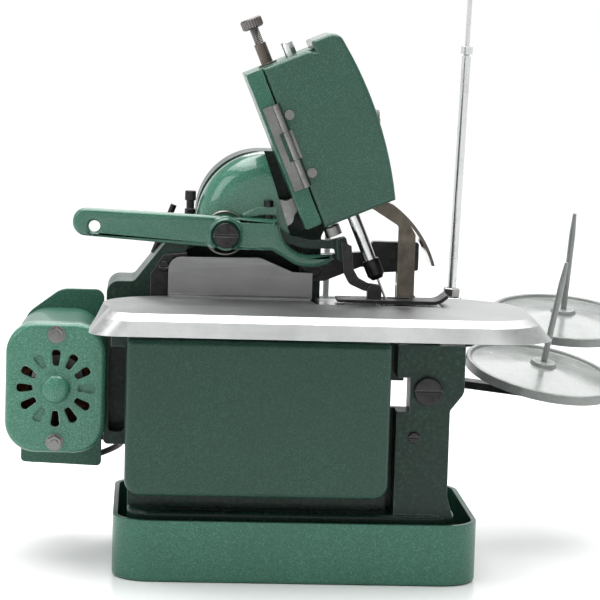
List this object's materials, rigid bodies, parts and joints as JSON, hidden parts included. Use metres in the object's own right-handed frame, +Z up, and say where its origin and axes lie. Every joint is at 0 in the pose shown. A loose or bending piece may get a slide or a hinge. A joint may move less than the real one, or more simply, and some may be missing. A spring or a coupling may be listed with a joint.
{
  "type": "overlock sewing machine",
  "caption": "Portable overlock sewing machine on an oil tray, with side motor, swing-away work plate, leaning needle head and thread stand.",
  "frame": {"origin": "centre of the oil tray's flat underside, which rests on the table", "axes": "+Z up; +X towards the needle end and the operator; +Y towards the handwheel"},
  "size_m": [0.4272, 0.3242, 0.4801],
  "materials": {
    "tray_green": "glossy sea-green hammertone enamel",
    "green": "sea-green hammertone enamel",
    "motor_paint": "sea-green enamel",
    "plate_alu": "polished and brushed",
    "steel": "ground steel",
    "bright_steel": "polished steel",
    "black_steel": "blackened",
    "bronze": "plain turned",
    "spring_wire": "oiled spring wire",
    "rubber": "matt",
    "grey_plastic": "satin",
    "black_plastic": "satin",
    "amber_plastic": "smoked amber clear sheet",
    "stator_iron": "lacquered core"
  },
  "bodies": {
    "frame": {"drip_tray": "tray_green", "base_cushions": "rubber", "base_casting": "green", "body_casting": "green", "arm_casting": "green", "dome_housing": "green", "head_casing": "green", "hinge_fixed_leaf": "steel", "rear_guard": "black_steel", "needle_plate": "bright_steel", "lower_knife": "black_steel", "eye_guard": "amber_plastic", "bronze_bushes": "bronze", "fasteners": "black_steel", "lever_spring": "spring_wire", "presser_spring": "steel", "motor_end_bell": "motor_paint", "motor_housing": "motor_paint", "motor_stator": "stator_iron", "motor_fasteners": "steel", "motor_bracket": "green", "drive_belt": "rubber", "strain_relief": "rubber", "motor_lead": "rubber", "terminal_socket": "black_plastic", "stand_bracket": "black_steel", "spool_discs": "grey_plastic", "spool_pins": "grey_plastic", "mast_lower": "bright_steel", "tension_bracket": "steel", "tension_discs": "bright_steel"},
    "main_shaft": {"main_shaft": "steel", "handwheel": "black_plastic"},
    "motor_rotor": {"motor_shaft": "steel", "motor_pulley": "black_steel", "motor_fan": "black_plastic"},
    "rocker": {"needle_rocker": "steel"},
    "needle_bar": {"needle_bar": "bright_steel", "needle_clamp": "black_steel", "needle": "bright_steel"},
    "lower_looper": {"lower_looper": "bright_steel"},
    "upper_looper": {"upper_looper": "bright_steel"},
    "upper_knife": {"upper_knife": "black_steel"},
    "feed_dog": {"feed_dog": "steel"},
    "lifter": {"lifter_lever": "tray_green"},
    "presser": {"presser_arm": "green", "foot_shank": "black_steel"},
    "presser_bar": {"presser_bar": "steel"},
    "foot_sole": {"foot_sole": "black_steel"},
    "adjusting_screw": {"adjusting_screw": "bright_steel"},
    "tension_1": {"tension_knob_1": "black_plastic"},
    "tension_2": {"tension_knob_2": "black_plastic"},
    "tension_3": {"tension_knob_3": "black_plastic"},
    "cloth_plate": {"cloth_plate": "plate_alu", "front_cover": "green", "guard_plate": "plate_alu"},
    "head_cover": {"head_cover": "green", "hinge_cover_leaf": "steel"},
    "mast_upper": {"mast_upper": "bright_steel", "thread_guide": "steel"}
  },
  "joints": [
    {"name": "handwheel_spin", "type": "hinge", "parent": "frame", "child": "main_shaft", "pos_m": [-0.03, 0.06, 0.118], "axis": [0, 1, 0], "continuous": true},
    {"name": "motor_spin", "type": "hinge", "parent": "frame", "child": "motor_rotor", "pos_m": [-0.1495, 0, 0.113], "axis": [0, 1, 0], "continuous": true},
    {"name": "needle_rock", "type": "hinge", "parent": "frame", "child": "rocker", "pos_m": [-0.02, 0.034, 0.215], "axis": [0, -1, 0], "range_deg": [-1, 20]},
    {"name": "needle_bar_slide", "type": "slide", "parent": "frame", "child": "needle_bar", "axis": [-0.3907, 0, 0.9205], "range_m": [-0.0013, 0.0208]},
    {"name": "lower_looper_swing", "type": "hinge", "parent": "frame", "child": "lower_looper", "pos_m": [0.02, 0.05, 0.132], "axis": [0, -1, 0], "range_deg": [-14, 3]},
    {"name": "upper_looper_swing", "type": "hinge", "parent": "frame", "child": "upper_looper", "pos_m": [0.04, 0.05, 0.134], "axis": [0, -1, 0], "range_deg": [-4, 8]},
    {"name": "upper_knife_swing", "type": "hinge", "parent": "frame", "child": "upper_knife", "pos_m": [0.01, 0.02, 0.186], "axis": [0, -1, 0], "range_deg": [-0.5, 6]},
    {"name": "feed_slide", "type": "slide", "parent": "frame", "child": "feed_dog", "axis": [1, 0, 0], "range_m": [-0.0033, 0.0003]},
    {"name": "lifter_turn", "type": "hinge", "parent": "frame", "child": "lifter", "pos_m": [-0.0465, -0.02, 0.209], "axis": [0, -1, 0], "range_deg": [0, 8], "stiffness_Nm_per_rad": 2.5, "springref_deg": -3.44},
    {"name": "presser_lift", "type": "hinge", "parent": "frame", "child": "presser", "pos_m": [-0.0465, -0.013, 0.209], "axis": [0, -1, 0], "range_deg": [0, 3.5]},
    {"name": "presser_bar_slide", "type": "slide", "parent": "frame", "child": "presser_bar", "axis": [-0.3907, 0, 0.9205], "range_m": [0, 0.0039]},
    {"name": "foot_tilt", "type": "hinge", "parent": "presser", "child": "foot_sole", "pos_m": [0.047, -0.022, 0.1774], "axis": [0, -1, 0], "range_deg": [-1, 2.9]},
    {"name": "adjuster_turn", "type": "hinge", "parent": "frame", "child": "adjusting_screw", "pos_m": [-0.03347, -0.014, 0.33981], "axis": [-0.3907, 0, 0.9205], "range_deg": [-720, 720]},
    {"name": "tension_1_turn", "type": "hinge", "parent": "frame", "child": "tension_1", "pos_m": [0.047, 0.041, 0.243], "axis": [1, 0, 0], "range_deg": [-720, 720]},
    {"name": "tension_2_turn", "type": "hinge", "parent": "frame", "child": "tension_2", "pos_m": [0.047, 0.041, 0.2615], "axis": [1, 0, 0], "range_deg": [-720, 720]},
    {"name": "tension_3_turn", "type": "hinge", "parent": "frame", "child": "tension_3", "pos_m": [0.047, 0.041, 0.28], "axis": [1, 0, 0], "range_deg": [-720, 720]},
    {"name": "cloth_plate_swing", "type": "hinge", "parent": "frame", "child": "cloth_plate", "pos_m": [-0.109, -0.033, 0.155], "axis": [0, 0, -1], "range_deg": [0, 60]},
    {"name": "head_cover_swing", "type": "hinge", "parent": "frame", "child": "head_cover", "pos_m": [0.00173, -0.0492, 0.24178], "axis": [0.3907, 0, -0.9205], "range_deg": [0, 110]},
    {"name": "mast_slide", "type": "slide", "parent": "frame", "child": "mast_upper", "axis": [0.028, 0, 0.9996], "range_m": [-0.12, 0.02]}
  ],
  "couplings": [
    {"joint": "motor_spin", "follows": "handwheel_spin", "ratio": 4.333},
    {"joint": "needle_bar_slide", "follows": "needle_rock", "m_per_rad": 0.0585},
    {"joint": "lower_looper_swing", "follows": "needle_rock", "ratio": -0.6},
    {"joint": "upper_looper_swing", "follows": "needle_rock", "ratio": 0.35},
    {"joint": "upper_knife_swing", "follows": "needle_rock", "ratio": 0.28},
    {"joint": "feed_slide", "follows": "needle_rock", "m_per_rad": -0.009},
    {"joint": "presser_lift", "follows": "lifter_turn", "ratio": 0.42},
    {"joint": "presser_bar_slide", "follows": "lifter_turn", "m_per_rad": 0.0263}
  ]
}
